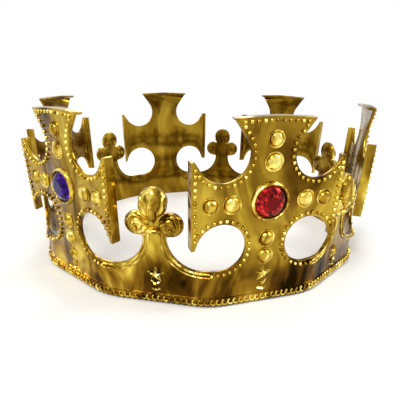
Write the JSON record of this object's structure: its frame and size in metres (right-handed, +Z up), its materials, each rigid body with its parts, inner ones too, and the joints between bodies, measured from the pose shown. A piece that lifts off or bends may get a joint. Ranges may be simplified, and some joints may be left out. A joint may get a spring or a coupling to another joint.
{
  "type": "toy crown",
  "caption": "Gold moulded-plastic party crown: flared ring of alternating crosses and fleurs-de-lis with faceted red and purple gems.",
  "frame": {"origin": "centre of the ring at its foot, the plane that the crown stands on", "axes": "+Z up through the top of the crown, -Y towards the front cross, +X to its right"},
  "size_m": [0.1984, 0.1938, 0.0832],
  "materials": {
    "gold_plastic": "vacuum-metallised gold, glossy",
    "red_gem": "clear faceted acrylic, foiled back",
    "purple_gem": "clear faceted acrylic, foiled back"
  },
  "bodies": {
    "root": {"crown_body": "gold_plastic", "gem_front": "red_gem", "gem_front_right": "purple_gem", "gem_back_right": "red_gem", "gem_back": "purple_gem", "gem_back_left": "red_gem", "gem_front_left": "purple_gem"}
  },
  "joints": []
}
